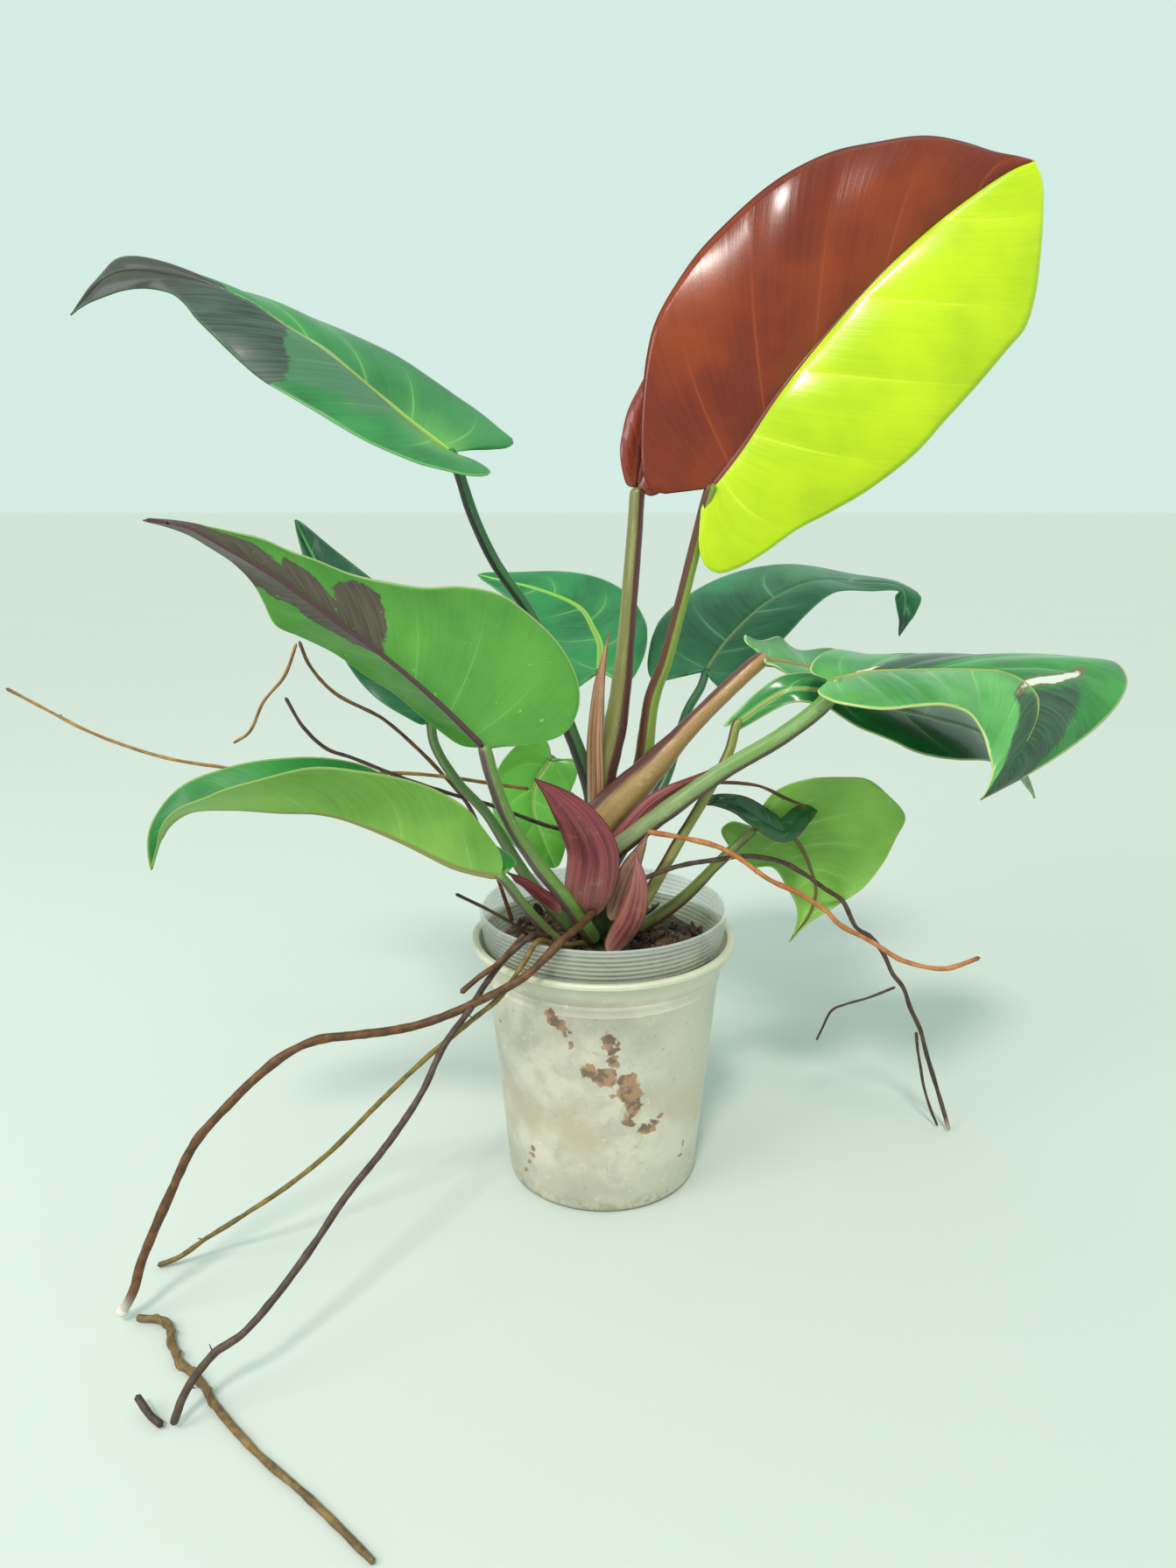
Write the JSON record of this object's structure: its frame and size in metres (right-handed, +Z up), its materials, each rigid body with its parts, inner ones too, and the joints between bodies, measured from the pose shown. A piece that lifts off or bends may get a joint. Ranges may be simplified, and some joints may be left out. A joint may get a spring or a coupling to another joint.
{
  "type": "potted philodendron",
  "caption": "Leafy climbing plant with heart-shaped leaves, one half red and half lime, in a clear pot nested in a frosted pot.",
  "frame": {"origin": "middle of the outer pot's foot, on the surface that it stands on", "axes": "+Z up, -Y towards the front, +X towards the side where the half red, half lime leaf leans"},
  "size_m": [0.4385, 0.3279, 0.4065],
  "materials": {
    "variegated_leaf": "glossy leaf, half red-brown and half lime",
    "red_leaf": "glossy young leaf, red-brown",
    "green_leaf": "glossy dark green leaf with paler veins",
    "patched_leaf": "glossy green leaf with a dark grey patch",
    "leaf_underside": "satin light green leaf underside",
    "petiole": "satin olive green with a maroon edge",
    "stem": "satin dark green stem",
    "sheath": "dry maroon and tan",
    "root": "matte wrinkled brown",
    "moss": "matte moss and bark",
    "clear_plastic": "clear thin plastic",
    "frosted_plastic": "frosted translucent plastic"
  },
  "bodies": {
    "root": {"outer_pot": "frosted_plastic", "inner_pot": "clear_plastic", "growing_moss": "moss", "main_stem": "stem", "tall_half_red_petiole": "petiole", "tall_half_red_leaf": "variegated_leaf", "young_red_petiole": "petiole", "young_red_leaf": "red_leaf", "behind_right_petiole": "petiole", "behind_right_leaf": "green_leaf", "drooping_right_petiole": "petiole", "drooping_right_leaf": "patched_leaf", "twisted_right_petiole": "petiole", "twisted_right_leaf": "green_leaf", "back_right_petiole": "petiole", "back_right_leaf": "green_leaf", "upper_left_petiole": "petiole", "upper_left_leaf": "patched_leaf", "left_turned_petiole": "petiole", "left_turned_leaf": "leaf_underside", "low_left_petiole": "petiole", "low_left_leaf": "leaf_underside", "hidden_left_petiole": "petiole", "hidden_left_leaf": "green_leaf", "back_left_petiole": "petiole", "back_left_leaf": "green_leaf", "small_back_petiole": "petiole", "small_back_leaf": "green_leaf", "low_right_petiole": "petiole", "low_right_leaf": "leaf_underside", "tall_sheath": "sheath", "right_sheath": "sheath", "front_sheath": "sheath", "small_left_sheath": "sheath", "right_low_sheath": "sheath", "front_low_sheath": "sheath", "thick_left_root": "root", "olive_left_root": "root", "dark_left_root": "root", "dark_left_root_end": "root", "floor_root": "root", "left_stub_root": "root", "hairy_stub_root": "root", "left_upper_root": "root", "left_upper_branch": "root", "left_middle_root": "root", "long_thin_left_root": "root", "orange_right_root": "root", "dark_right_root": "root", "dark_right_branch": "root", "dark_right_twig": "root", "short_right_root": "root"}
  },
  "joints": []
}
